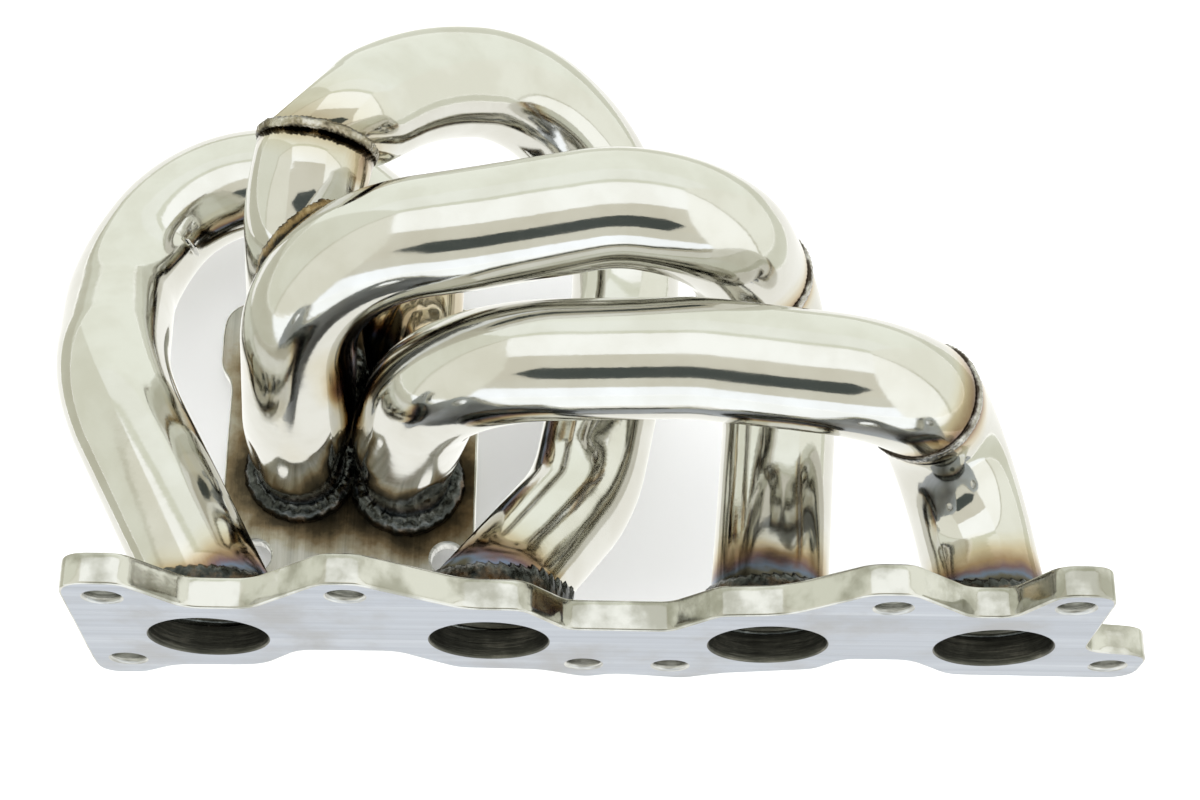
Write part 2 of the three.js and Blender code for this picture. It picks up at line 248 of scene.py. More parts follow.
def slant(direction, plane):
    """How far a slanted cut reaches along the tube."""
    c = abs(float(direction @ plane[1]))
    return TUBE_R * math.sqrt(max(0.0, 1 - c * c)) / c + 0.8


def neck_radius(to_end):
    """Outside radius where a runner narrows to its foot."""
    k = min(1.0, max(0.0, 1 - to_end / NECK))
    return TUBE_R - (TUBE_R - FOOT_R) * k * k * (3 - 2 * k)


def crush(angle, to_end, seed):
    """Flat hammered facets where the round tube is squeezed down to its foot."""
    k = min(1.0, max(0.0, 1 - to_end / NECK))
    belt = math.sin(math.pi * k ** 0.8) ** 2
    return -FACET_DEPTH * belt * max(0.0, math.cos(3 * angle + seed)) ** 4


def oval_point(out, oval, depth):
    """Point of an oval rim (centre, half axes as vectors) nearest the direction out."""
    centre, across, along = oval
    x = out @ across / (across @ across)
    y = out @ along / (along @ along)
    size = math.hypot(x * np.linalg.norm(across), y * np.linalg.norm(along))
    x = x * np.linalg.norm(across) / size
    y = y * np.linalg.norm(along) / size
    rim = x * across + y * along
    return centre + rim - unit(rim) * depth


def tint_and_shade_at(q, at, total, heat, tint_and_shade_spots, seed):
    """How strongly the point q, which lies the length at along its tube, is tinted: weld tint from either
    end and round the knee, and painted shade between the feet.
    """
    reach = 1 + 0.4 * grain(q, 0.06, seed + 3)
    near = [0.0]
    for gap, (length, peak) in zip((at, total - at), heat):
        near.append(peak * (1 - gap / (length * reach)))
    for spot, size, peak in tint_and_shade_spots:
        near.append(peak * (1 - np.linalg.norm(q - spot) / (size * reach)))
    return max(near)


class Path:
    """Centreline with its directions, sideways vectors and lengths."""

    def __init__(self, line):
        self.line = line
        self.dirs = directions(line)
        self.us, self.vs = steady_sides(self.dirs)
        self.s = lengths(line)
        self.total = self.s[-1]

    def out(self, i, angle):
        return math.cos(angle) * self.us[i] + math.sin(angle) * self.vs[i]


def tube_ring(path, i, depth, angles, start, end, neck, seed):
    """Ring of points round station i, depth below the outside of the tube."""
    last = len(path.line) - 1
    to_end = path.total - path.s[i]
    ring = []
    for a in angles:
        out = path.out(i, a)
        radius = neck_radius(to_end) + crush(a, to_end, seed) if neck else TUBE_R
        q = path.line[i] + (radius - depth) * out
        if 0 < i < last:
            q = q + out * (0.05 * grain(q, 0.045, seed) + 0.02 * grain(q, 0.16, seed))
        ring.append(q)
    if i == 0:
        return [slide(q, path.dirs[0], start) for q in ring]
    if i == last:
        return [slide(q, path.dirs[-1], end) for q in ring]
    return ring


def ease_to_oval(ring, path, i, depth, angles, plane, at, rim):
    """Ring moved towards the oval that the end of the tube (station at) is formed to."""
    gap = abs(path.s[at] - path.s[i])
    k = max(0.0, 1 - gap / FORMED)
    if k == 0:
        return ring
    eased = []
    for q, a in zip(ring, angles):
        out = path.out(at, a)
        cut = slide(path.line[at] + (TUBE_R - depth) * out, path.dirs[at], plane)
        eased.append(q + k * k * (3 - 2 * k) * (oval_point(out, rim, depth) - cut))
    return eased


def tube(name, line, materials, start, end, neck=False, heat=(), tint_and_shade_spots=(), seed=0.0, oval=None):
    """Hollow tube swept along line, cut by the planes start and end (point, normal).

    neck narrows its end to a foot.
    heat is (length, peak) of the weld tint at either end; the spots, each (point, size, peak), add weld
    tint round the knee and painted shade between the feet.
    oval is (station, rim): the end at that station, 0 or -1, is formed to the shared oval rim.
    """
    path = Path(line)
    clear_of_start = path.s > slant(path.dirs[0], start)
    clear_of_end = path.total - path.s > slant(path.dirs[-1], end)
    stations = [0, *np.flatnonzero(clear_of_start & clear_of_end), len(line) - 1]
    angles = np.linspace(0, 2 * np.pi, TUBE_SIDES, endpoint=False)
    verts = []
    tint = []
    for i, depth in [(i, 0.0) for i in stations] + [(i, WALL) for i in stations[::-1]]:
        ring = tube_ring(path, i, depth, angles, start, end, neck, seed)
        if oval:
            at, rim = oval
            ring = ease_to_oval(ring, path, i, depth, angles, start if at == 0 else end, at, rim)
        verts += ring
        tint += [tint_and_shade_at(q, path.s[i], path.total, heat, tint_and_shade_spots, seed) for q in ring]
    faces = grid_faces(2 * len(stations), TUBE_SIDES)
    bored = len(stations) * TUBE_SIDES
    slots = [1 if bored <= k < len(faces) - TUBE_SIDES else 0 for k in range(len(faces))]
    return mesh_object(name, verts, faces, materials, slots, heat=tint)


def solid_rod(name, line, radius, sides=64):
    """Closed rod along line, used only to cut with."""
    us, vs = steady_sides(directions(line))
    angles = np.linspace(0, 2 * np.pi, sides, endpoint=False)
    rings = [p + radius * (np.outer(np.cos(angles), u) + np.outer(np.sin(angles), v))
             for p, u, v in zip(line, us, vs)]
    faces = grid_faces(len(rings), sides, close_rows=False)
    faces.append(tuple(range(sides)))
    faces.append(tuple((len(rings) - 1) * sides + j for j in range(sides))[::-1])
    return mesh_object(name, np.concatenate(rings), faces, [])


def cut_away(obj, cutter):
    """Exact boolean, applied at once so that no cutter stays in the scene."""
    modifier = obj.modifiers.new("cut", "BOOLEAN")
    modifier.operation = "DIFFERENCE"
    modifier.solver = "EXACT"
    modifier.object = cutter
    depsgraph = bpy.context.evaluated_depsgraph_get()
    mesh = bpy.data.meshes.new_from_object(obj.evaluated_get(depsgraph))
    obj.modifiers.clear()
    obj.data = mesh
    bpy.data.objects.remove(cutter)


# ---------- weld beads ----------


def resample(pts, step):
    """Evenly spaced points round a closed curve, and how far along it each one is."""
    line = np.vstack([pts, pts[:1]])
    s = lengths(line)
    at = np.linspace(0, s[-1], round(s[-1] / step), endpoint=False)
    return np.stack([np.interp(at, s, line[:, k]) for k in range(3)], 1), at


def steady_lifts(line, pts, lifts):
    """Lift of the nearest given point at each point of a closed line, smoothed along it."""
    nearest = [int(np.argmin(((pts - p) ** 2).sum(1))) for p in line]
    ups = np.array([lifts[k] for k in nearest])
    for _ in range(6):
        ups = (np.roll(ups, 1, 0) + ups + np.roll(ups, -1, 0)) / 3
    return ups


def bead(name, pts, lifts, material, wide, high, pitch, ripple, rough, seed, corner=False):
    """Rippled weld bead: an oval section along the closed curve pts, standing up along lifts.

    wide and high are its half axes. pitch is the distance between ripples, ripple their depth
    and rough the size of the lumps. A corner bead keeps little of its oval behind the tube wall
    and below the plate.
    """
    pts = np.asarray(pts)
    line, at = resample(pts, BEAD_STEP)
    ups = steady_lifts(line, pts, lifts)
    verts = []
    across = []
    for p, d, up, along in zip(line, directions(line, True), ups, at):
        up = unit(up - d * (up @ d))
        side = np.cross(d, up)
        size = 1 + 0.1 * grain(p, 0.11, seed + 9)
        for a in np.linspace(0, 2 * math.pi, BEAD_SIDES, endpoint=False):
            rise = math.cos(a)
            spread = math.sin(a)
            if corner:
                rise *= 1.0 if rise > 0 else 0.12
                spread *= 1.0 if spread > 0 else 0.3
            wave = (along + 0.8 * wide * spread * spread) / pitch + 0.25 * grain(p, 0.2, seed)
            swell = 1 + ripple * (0.5 - wave % 1.0) * max(0.0, rise + 0.5)
            q = p + (side * spread * wide + up * rise * high) * swell * size
            lump = rough * (grain(q, 0.35, seed) + 0.5 * grain(q, 0.9, seed + 5))
            verts.append(q + (up * rise + side * spread) * lump * size)
            across.append(spread)
    return mesh_object(name, verts, grid_faces(len(line), BEAD_SIDES), [material], heat=across)


def tube_rim(point, direction, plane, radius, count=180):
    """Curve where a straight tube meets a plane, with the tube's outward directions."""
    side = unit(np.cross(direction, UP if abs(direction[2]) < 0.9 else BACK))
    other = np.cross(direction, side)
    outs = [math.cos(a) * side + math.sin(a) * other
            for a in np.linspace(0, 2 * math.pi, count, endpoint=False)]
    rim = [slide(point + radius * out, direction, plane) for out in outs]
    return np.array(rim), np.array(outs)


def saddle_curve(line, other, radius, other_radius):
    """Closed curve where the tube along line runs into the tube along other."""
    us, vs = steady_sides(directions(line))
    angles = np.linspace(0, 2 * np.pi, 360, endpoint=False)
    left = []
    right = []
    for p, u, v in zip(line, us, vs):
        outs = np.outer(np.cos(angles), u) + np.outer(np.sin(angles), v)
        shell = p + radius * outs
        gaps = shell[:, None] - other[None]
        away = np.linalg.norm(gaps, axis=2)
        depth = away.min(1) - other_radius
        enters = np.flatnonzero((depth > 0) & (np.roll(depth, -1) <= 0))
        leaves = np.flatnonzero((depth <= 0) & (np.roll(depth, -1) > 0))
        if len(enters) != 1 or len(leaves) != 1:
            continue
        for crossings, k in ((left, enters[0]), (right, leaves[0])):
            m = (k + 1) % 360
            f = depth[k] / (depth[k] - depth[m])
            q = shell[k] + (shell[m] - shell[k]) * f
            near = other[int(np.argmin(away[k]))]
            crossings.append((q, unit(unit(q - p) + unit(q - near))))
    return left + right[::-1]


# ---------- plates ----------


def rounded(outline, per_corner=10):
    """Corner list as a counter-clockwise loop with each corner rounded."""
    corners = [np.array(c[:2], float) for c in outline]
    loop = []
    for k, here in enumerate(corners):
        back = corners[k - 1] - here
        ahead = corners[(k + 1) % len(corners)] - here
        half = math.acos(max(-1.0, min(1.0, float(unit(back) @ unit(ahead))))) / 2
        reach = outline[k][2] / math.tan(half)
        a = here + unit(back) * min(reach, 0.48 * np.linalg.norm(back))
        b = here + unit(ahead) * min(reach, 0.48 * np.linalg.norm(ahead))
        for t in np.linspace(0, 1, per_corner):
            loop.append((1 - t) ** 2 * a + 2 * t * (1 - t) * here + t * t * b)
    loop = np.array(loop)
    x, y = loop.T
    area = float(x @ np.roll(y, -1) - y @ np.roll(x, -1))
    return loop if area > 0 else loop[::-1]


def inward(loop):
    """Inward unit normals of a counter-clockwise loop."""
    ahead = np.roll(loop, -1, 0) - np.roll(loop, 1, 0)
    ahead = ahead / np.linalg.norm(ahead, axis=1)[:, None]
    return np.stack([-ahead[:, 1], ahead[:, 0]], 1)


def within(points, loop):
    """Which points lie inside the loop, by counting edge crossings."""
    x, y = points.T
    hits = np.zeros(len(points), int)
    for (x0, y0), (x1, y1) in zip(loop, np.roll(loop, -1, 0)):
        if y0 == y1:
            continue
        crosses = (y0 <= y) != (y1 <= y)
        hits += crosses & (x < x0 + (y - y0) * (x1 - x0) / (y1 - y0))
    return hits % 2 == 1


class Shell:
    """Vertices, faces and material slots of a plate while it is put together."""

    def __init__(self, lay):
        self.lay = lay
        self.verts = []
        self.faces = []
        self.slots = []

    def wall(self, rings, slot):
        """Band of quads through rings of (2-D points, depth). Returns its two rims."""
        count = len(rings[0][0])
        first = len(self.verts)
        for ring, depth in rings:
            self.verts.extend(self.lay(x, y, depth) for x, y in ring)
        for face in grid_faces(len(rings), count, close_rows=False):
            self.faces.append(tuple(first + k for k in face))
            self.slots.append(slot)
        return list(range(first, first + count)), list(range(len(self.verts) - count, len(self.verts)))

    def cap(self, rim_indices, spread, depth, triangles):
        """Flat face through the rims and the spread points."""
        first = len(self.verts)
        self.verts.extend(self.lay(x, y, depth) for x, y in spread)
        index = rim_indices + list(range(first, first + len(spread)))
        for triangle in triangles:
            self.faces.append(tuple(index[k] for k in triangle))
            self.slots.append(0)


def outer_rings(loop, thick, edge, wave, seed):
    """Rings down the outer wall: rounded edges, and a hand-ground wave between them."""
    normals = inward(loop)
    swell = np.array([grain((x, y, 0), 0.06, seed) + 0.4 * grain((x, y, 5), 0.2, seed) for x, y in loop])
    turns = [math.pi / 2 * k / 4 for k in range(5)]
    round_off = [(edge * (1 - math.sin(a)), edge * (1 - math.cos(a))) for a in turns]
    steps = round_off + [(0.0, depth) for depth in np.linspace(edge, thick - edge, 6)[1:-1]]
    steps += [(inset, thick - depth) for inset, depth in round_off[::-1]]
    rings = []
    for inset, depth in steps:
        bulge = wave * swell * math.sin(math.pi * depth / thick)
        rings.append((loop + normals * (inset - bulge)[:, None], depth))
    return rings


def bore_rings(x, y, radius, chamfer, thick):
    """Rings down a drilled hole with a chamfer at both faces."""
    count = max(40, round(2 * math.pi * radius / RIM_STEP))
    turn = np.linspace(0, 2 * math.pi, count, endpoint=False)
    circle = np.stack([np.cos(turn), np.sin(turn)], 1)
    foot = 1.1 * chamfer
    flare = [(chamfer, 0.0), (0.15 * chamfer, 0.85 * chamfer), (0.0, foot)]
    steps = flare + [(0.0, depth) for depth in np.linspace(foot, thick - foot, 6)[1:-1]]
    steps += [(inset, thick - depth) for inset, depth in flare[::-1]]
    return [(np.array([x, y]) + circle * (radius + out), depth) for out, depth in steps]


def spread_points(loop, rims, holes, step=6, margin=3):
    """Grid of points inside the outline, clear of every rim."""
    low = loop.min(0) + margin
    high = loop.max(0) - margin
    columns = np.arange(low[0], high[0], step)
    rows = np.arange(low[1], high[1], step)
    grid = np.array([(x, y) for x in columns for y in rows])
    clear = within(grid, loop)
    for rim in rims:
        clear &= np.linalg.norm(grid[:, None] - rim[None], axis=2).min(1) > margin
    for x, y, radius, _, _ in holes:
        clear &= np.linalg.norm(grid - (x, y), axis=1) > radius + margin
    return grid[clear]


def face_triangles(rims, spread):
    """Triangles between the outer rim and the hole rims, as indices into rims then spread."""
    points = [Vector(p) for rim in rims for p in rim] + [Vector(p) for p in spread]
    edges = []
    start = 0
    for rim in rims:
        edges += [(start + k, start + (k + 1) % len(rim)) for k in range(len(rim))]
        start += len(rim)
    inside_outline = 1
    out, _, triangles, source, _, _ = geometry.delaunay_2d_cdt(points, edges, [], inside_outline, 1e-6)
    middles = np.array([np.mean([out[k] for k in t], axis=0) for t in triangles])
    solid = np.full(len(middles), True)
    for rim in rims[1:]:
        solid &= ~within(middles, rim)
    return [[source[k][0] for k in triangle] for keep, triangle in zip(solid, triangles) if keep]


def plate(name, outline, holes, thick, lay, materials, wave, edge, seed):
    """Flat plate. holes are (x, y, radius, chamfer, material slot); lay places a point in 3-D."""
    corners = rounded(outline)
    spaced, _ = resample(np.c_[corners, np.zeros(len(corners))], RIM_STEP)
    loop = spaced[:, :2]
    walls = [(outer_rings(loop, thick, edge, wave, seed), 1)]
    walls += [(bore_rings(x, y, radius, chamfer, thick), slot) for x, y, radius, chamfer, slot in holes]
    shell = Shell(lay)
    ends = [shell.wall(rings, slot) for rings, slot in walls]
    rims = [rings[0][0] for rings, _ in walls]
    spread = spread_points(loop, rims, holes)
    triangles = face_triangles(rims, spread)
    for side, depth in ((0, 0.0), (1, thick)):
        shell.cap([k for end in ends for k in end[side]], spread, depth, triangles)
    return mesh_object(name, shell.verts, shell.faces, materials, shell.slots, flat=(0,))


# ---------- materials ----------


class Look:
    """Node material around one Principled shader."""

    def __init__(self, name, colour=(0.8, 0.8, 0.8), metal=1.0, roughness=0.3):
        self.material = bpy.data.materials.new(name)
        self.material.use_nodes = True
        self.tree = self.material.node_tree
        self.shader = self.tree.nodes["Principled BSDF"]
        self.shader.inputs["Base Color"].default_value = (*colour, 1)
        self.shader.inputs["Metallic"].default_value = metal
        self.shader.inputs["Roughness"].default_value = roughness
        self.place = self.add("ShaderNodeTexCoord").outputs["Object"]

    def add(self, kind, **inputs):
        node = self.tree.nodes.new(kind)
        for key, value in inputs.items():
            self.set(node.inputs[key.replace("_", " ")], value)
        return node

    def set(self, socket, value):
        if isinstance(value, bpy.types.NodeSocket):
            self.tree.links.new(value, socket)
        else:
            socket.default_value = value

    def stretched(self, x, y, z):
        """Object coordinates scaled on their own along each axis."""
        mapping = self.add("ShaderNodeMapping", Vector=self.place)
        mapping.inputs["Scale"].default_value = (x, y, z)
        return mapping.outputs["Vector"]

    def noise(self, scale, detail=3.0, roughness=0.5, vector=None):
        node = self.add("ShaderNodeTexNoise", Scale=scale, Detail=detail, Roughness=roughness)
        self.set(node.inputs["Vector"], vector or self.place)
        return node.outputs["Fac"]

    def ramp(self, value, stops, smooth=False):
        """Colour ramp with stops of (position, colour), lowest first."""
        node = self.add("ShaderNodeValToRGB", Fac=value)
        node.color_ramp.interpolation = "EASE" if smooth else "LINEAR"
        elements = node.color_ramp.elements
        for element, (position, colour) in ((elements[0], stops[0]), (elements[-1], stops[-1])):
            element.position = position
            element.color = (*colour, 1)
        for position, colour in stops[1:-1]:
            elements.new(position).color = (*colour, 1)
        return node.outputs["Color"]

    def between(self, value, low, high, from_low=0.0, from_high=1.0):
        """Value rescaled from the range from_low to from_high into low to high, and clamped."""
        node = self.add("ShaderNodeMapRange", Value=value)
        node.inputs["From Min"].default_value = from_low
        node.inputs["From Max"].default_value = from_high
        node.inputs["To Min"].default_value = low
        node.inputs["To Max"].default_value = high
        return node.outputs["Result"]

    def combine(self, a, b, operation="ADD"):
        node = self.add("ShaderNodeMath")
        node.operation = operation
        self.set(node.inputs[0], a)
        self.set(node.inputs[1], b)
        return node.outputs[0]

    def blend(self, factor, a, b, mode="MIX"):
        node = self.add("ShaderNodeMix")
        node.data_type = "RGBA"
        node.blend_type = mode
        self.set(node.inputs["Factor"], factor)
        colours = [socket for socket in node.inputs if socket.type == "RGBA"]
        self.set(colours[0], a)
        self.set(colours[1], b)
        return [socket for socket in node.outputs if socket.type == "RGBA"][0]

    def bump(self, *layers):
        """Layers of (height, strength, distance in metres)."""
        normal = None
        for height, strength, distance in layers:
            node = self.add("ShaderNodeBump", Height=height)
            node.inputs["Strength"].default_value = strength
            node.inputs["Distance"].default_value = distance
            if normal:
                self.set(node.inputs["Normal"], normal)
            normal = node.outputs["Normal"]
        self.set(self.shader.inputs["Normal"], normal)


STEEL = (0.64, 0.632, 0.59)


def polished_steel():
    """Polished tube: warm steel with faint scuffs, darkened through heat-tint colours where the tube's tint
    attribute is high: weld tint near the welds, painted shade between the feet.
    """
    look = Look("polished_stainless", STEEL, 1.0, 0.1)
    # The attribute holds weld tint near the welds and painted shade between the feet; its highest values
    # reach the near-black end of the ramp.
    heat = look.add("ShaderNodeAttribute")
    heat.attribute_name = "tint_and_shade_control"
    cloud = look.noise(55.0, 4.0)
    wander = look.between(look.noise(140.0, 3.0), -0.16, 0.16)
    uneven = look.combine(heat.outputs["Fac"], look.combine(wander, heat.outputs["Fac"], "MULTIPLY"))
    tint = look.ramp(uneven, [
        (0.0, (1, 1, 1)), (0.25, (0.97, 0.94, 0.86)), (0.45, (0.80, 0.68, 0.50)),
        (0.62, (0.46, 0.32, 0.20)), (0.74, (0.24, 0.16, 0.17)), (0.84, (0.20, 0.25, 0.36)),
        (0.92, (0.16, 0.15, 0.12)), (1.0, (0.07, 0.065, 0.05)),
    ])
    clean = look.ramp(cloud, [(0.35, (0.62, 0.61, 0.56)), (0.65, (0.665, 0.66, 0.62))], True)
    look.set(look.shader.inputs["Base Color"], look.blend(1.0, clean, tint, "MULTIPLY"))
    scuffs = look.noise(1.0, 4.0, 0.6, look.stretched(90, 700, 700))
    haze = look.noise(38.0, 5.0, 0.6)
    scuffed = look.between(scuffs, 0.0, 0.05, 0.4, 0.75)
    hazy = look.between(haze, 0.05, 0.11, 0.3, 0.7)
    heated = look.between(heat.outputs["Fac"], 0.0, 0.14, 0.5, 1.0)
    look.set(look.shader.inputs["Roughness"], look.combine(look.combine(scuffed, hazy), heated))
    look.bump((look.noise(420.0, 3.0), 0.05, 0.0003), (scuffs, 0.03, 0.0002))
    return look.material


def bore_steel():
    """Very dark brown inside of the tubes and ports, mottled and ringed."""
    look = Look("bore_steel", (0.1, 0.09, 0.07), 0.85, 0.42)
    rings = look.noise(1.0, 4.0, 0.6, look.stretched(70, 900, 70))
    mottle = look.noise(90.0, 5.0, 0.6)
    look.set(look.shader.inputs["Base Color"], look.ramp(look.combine(
        look.between(rings, 0.0, 0.5), look.between(mottle, 0.0, 0.5)), [
        (0.3, (0.03, 0.03, 0.024)), (0.52, (0.085, 0.085, 0.068)), (0.7, (0.22, 0.21, 0.17)),
    ]))
    look.set(look.shader.inputs["Roughness"], look.between(mottle, 0.3, 0.55))
    look.bump((rings, 0.35, 0.0006), (mottle, 0.2, 0.0004))
    return look.material


def heat_stain(look, colour, centres, near, far):
    """Soot, brown and straw round the given points, from near to far millimetres away."""
    away = None
    for centre in centres:
        node = look.add("ShaderNodeVectorMath")
        node.operation = "DISTANCE"
        look.set(node.inputs[0], look.place)
        node.inputs[1].default_value = [c * MM for c in centre]
        away = look.combine(away, node.outputs["Value"], "MINIMUM") if away else node.outputs["Value"]
    wander = look.between(look.noise(75.0, 4.0, 0.6), -5 * MM, 5 * MM, 0.25, 0.75)
    spread = look.between(look.combine(away, wander), 0.0, 1.0, near * MM, far * MM)
    tint = look.ramp(spread, [
        (0.0, (0.05, 0.045, 0.035)), (0.3, (0.16, 0.13, 0.09)), (0.55, (0.46, 0.36, 0.24)),
        (0.8, (0.80, 0.74, 0.62)), (1.0, (1, 1, 1)),
    ])
    return look.blend(1.0, colour, tint, "MULTIPLY")


def brushed_face(name, along, tones, stain, welds=()):
    """Ground plate face with its brush marks along x or y, heat-stained round its welds."""
    look = Look(name, tones[1], 1.0, 0.34)
    fine = (9, 1100, 1100) if along == "x" else (1100, 9, 1100)
    broad = (4, 260, 260) if along == "x" else (260, 4, 260)
    lines = look.noise(1.0, 4.0, 0.65, look.stretched(*fine))
    bands = look.noise(1.0, 3.0, 0.5, look.stretched(*broad))
    mixed = look.combine(look.between(lines, 0.0, 0.55), look.between(bands, 0.0, 0.45))
    steel = look.ramp(mixed, [(0.3, tones[0]), (0.5, tones[1]), (0.7, tones[2])])
    patches = look.noise(26.0, 5.0, 0.6)
    mask = look.ramp(patches, [(0.46, (0, 0, 0)), (0.72, (1, 1, 1))], True)
    colour = look.blend(mask, steel, (*stain, 1))
    if welds:
        colour = heat_stain(look, colour, welds, 18.0, 34.0)
    look.set(look.shader.inputs["Base Color"], colour)
    look.set(look.shader.inputs["Roughness"], look.between(lines, 0.26, 0.46, 0.3, 0.7))
    look.bump((lines, 0.22, 0.0003), (bands, 0.1, 0.0005))
    return look.material


def polished_edge():
    """Hand-polished side walls of the plates."""
    look = Look("polished_edge", STEEL, 1.0, 0.12)
    cloud = look.noise(70.0, 4.0)
    look.set(look.shader.inputs["Base Color"], look.ramp(cloud, [
        (0.36, (0.36, 0.355, 0.30)), (0.60, (0.62, 0.615, 0.57)),
    ], True))
    haze = look.noise(160.0, 4.0, 0.6)
    look.set(look.shader.inputs["Roughness"], look.between(haze, 0.07, 0.18, 0.3, 0.7))
    look.bump((look.noise(120.0, 3.0), 0.12, 0.0008))
    return look.material


def drilled_wall():
    """Turned walls of the stud holes."""
    look = Look("drilled_wall", (0.45, 0.45, 0.43), 1.0, 0.3)
    rings = look.noise(1.0, 3.0, 0.6, look.stretched(120, 1800, 120))
    look.set(look.shader.inputs["Base Color"], look.ramp(rings, [
        (0.35, (0.32, 0.32, 0.30)), (0.65, (0.66, 0.66, 0.63)),
    ]))
    look.set(look.shader.inputs["Roughness"], look.between(look.noise(300.0), 0.22, 0.4))
    look.bump((rings, 0.3, 0.0004))
    return look.material


def weld_steel(name, tones, back_edge, front_edge, roughness, back_toe, front_toe):
    """Oxidised weld metal: mottled tones on the crest, with its own tint along either toe.

    A toe is where its tint starts, from 0 at the crest to 1 at the side of the bead.
    """
    look = Look(name, tones[1], 1.0, roughness)
    across = look.add("ShaderNodeAttribute")
    across.attribute_name = "tint_and_shade_control"
    patches = look.noise(150.0, 5.0, 0.62)
    specks = look.noise(700.0, 3.0, 0.6)
    mixed = look.combine(look.between(patches, 0.0, 0.75), look.between(specks, 0.0, 0.25))
    count = len(tones)
    stops = [(0.34 + 0.32 * k / (count - 1), tone) for k, tone in enumerate(tones)]
    crest = look.ramp(mixed, stops)
    wander = look.combine(across.outputs["Fac"], look.between(patches, -0.35, 0.35, 0.3, 0.7))
    front = look.between(wander, 1.0, 0.0, -front_toe - 0.4, -front_toe)
    back = look.between(wander, 0.0, 1.0, back_toe, back_toe + 0.4)
    tinted = look.blend(front, crest, (*front_edge, 1))
    look.set(look.shader.inputs["Base Color"], look.blend(back, tinted, (*back_edge, 1)))
    uneven = look.between(patches, roughness - 0.08, roughness + 0.12, 0.3, 0.7)
    look.set(look.shader.inputs["Roughness"], uneven)
    look.bump((specks, 0.25, 0.0004), (patches, 0.2, 0.0008))
    return look.material


# ---------- the manifold ----------

steel = polished_steel()
bore = bore_steel()
edge_steel = polished_edge()
drilled = drilled_wall()
head_face = brushed_face(
    "brushed_head_face", "x", tones=[(0.33, 0.355, 0.40), (0.44, 0.47, 0.53), (0.58, 0.61, 0.66)],
    stain=(0.37, 0.375, 0.39),
)
turbine_face = brushed_face(
    "brushed_turbine_face", "y", tones=[(0.30, 0.295, 0.26), (0.45, 0.44, 0.39), (0.60, 0.59, 0.54)],
    stain=(0.34, 0.28, 0.20), welds=[(x, y, TURB_Z) for x, y in FEET],
)
pale_weld = weld_steel(
    "pale_weld", tones=[(0.07, 0.055, 0.035), (0.34, 0.30, 0.22), (0.62, 0.60, 0.54)],
    back_edge=(0.20, 0.19, 0.17), front_edge=(0.03, 0.026, 0.02), roughness=0.18,
    back_toe=0.6, front_toe=0.6,
)
dark_weld = weld_steel(
    "dark_weld", tones=[(0.02, 0.022, 0.02), (0.06, 0.065, 0.06), (0.18, 0.19, 0.18)],
    back_edge=(0.11, 0.065, 0.03), front_edge=(0.11, 0.065, 0.03), roughness=0.2,
    back_toe=0.8, front_toe=0.8,
)
ring_weld = weld_steel(
    "ring_weld", tones=[(0.22, 0.20, 0.17), (0.42, 0.40, 0.36), (0.64, 0.63, 0.60)],
    back_edge=(0.05, 0.035, 0.03), front_edge=(0.05, 0.04, 0.03), roughness=0.2,
    back_toe=0.55, front_toe=0.55,
)
gold_weld = weld_steel(
    "gold_weld", tones=[(0.10, 0.06, 0.025), (0.30, 0.21, 0.10), (0.52, 0.42, 0.25)],
    back_edge=(0.02, 0.018, 0.014), front_edge=(0.02, 0.018, 0.014), roughness=0.26,
    back_toe=0.1, front_toe=0.3,
)

tubes = [steel, bore]
head_back = (np.array([0.0, HEAD_T + GAP, 0.0]), BACK)
plate_top = (np.array([0.0, 0.0, TURB_Z + GAP]), UP)

# Rim that the two tubes of runner 2 share at the knee: centre off the end of the lower tube
KNEE_SHIFT = np.array([-1.0, -0.5, -1.5])
KNEE_NORMAL = unit(np.array([-0.14, -0.97, -0.18]))
KNEE_TALL = 20.5

# Extra tint spots: spot, size and peak. The knee's spots are weld tint, measured from the lower tube's end;
# the spots between the feet are painted shade on the inner sides of the legs.
SHADE_BETWEEN_FEET = [(np.array([-88.0, 98.0, z]), 34.0, 1.7) for z in (-45, -20, 8)]
DROP_SPOTS = [((15, -9, 4), 12.0, 1.1), ((16, -15, -10), 12.0, 0.9)]
ARCH_SPOTS = [((-17, 5, 9), 8.0, 0.6), ((16, 4, 11), 8.0, 0.7)]


def head_plane(x, z, depth):
    """Lays a plate upright, with its first face at y = 0."""
    return (x, depth, z)


def turbine_plane(x, y, depth):
    """Lays a plate flat below the feet."""
    return (x, y, TURB_Z - depth)


def add_plates():
    ports = [(x, z, PORT_R, 0.5, 2) for x, z in PORTS]
    studs = [(x, z, STUD_R, 1.0, 3) for x, z in STUD_HOLES]
    head = plate(
        "head_plate", HEAD_OUTLINE, ports + studs, HEAD_T, head_plane,
        [head_face, edge_steel, bore, drilled], wave=0.16, edge=0.8, seed=4.0,
    )
    hand_in(head, "plate_steel", "head_flange")
    inlets = [(x, y, INLET_R, 0.5, 2) for x, y in FEET]
    studs = [(x, y, TURB_STUD_R, 0.8, 3) for x, y in TURB_HOLES]
    turbine = plate(
        "turbine_plate", TURB_OUTLINE, inlets + studs, TURB_T, turbine_plane,
        [turbine_face, edge_steel, bore, drilled], wave=0.1, edge=0.7, seed=8.0,
    )
    hand_in(turbine, "plate_steel", "turbine_flange")


def add_joint_weld(number, plane):
    rim, outs = tube_rim(plane[0], plane[1], plane, TUBE_R)
    ring = bead(
        f"runner{number}_joint_bead", rim, outs, ring_weld, wide=2.1, high=1.0, pitch=1.7,
        ripple=0.22, rough=0.14, seed=number * 2.0,
    )
    hand_in(ring, "weld_bead", f"runner{number}_joint_weld")


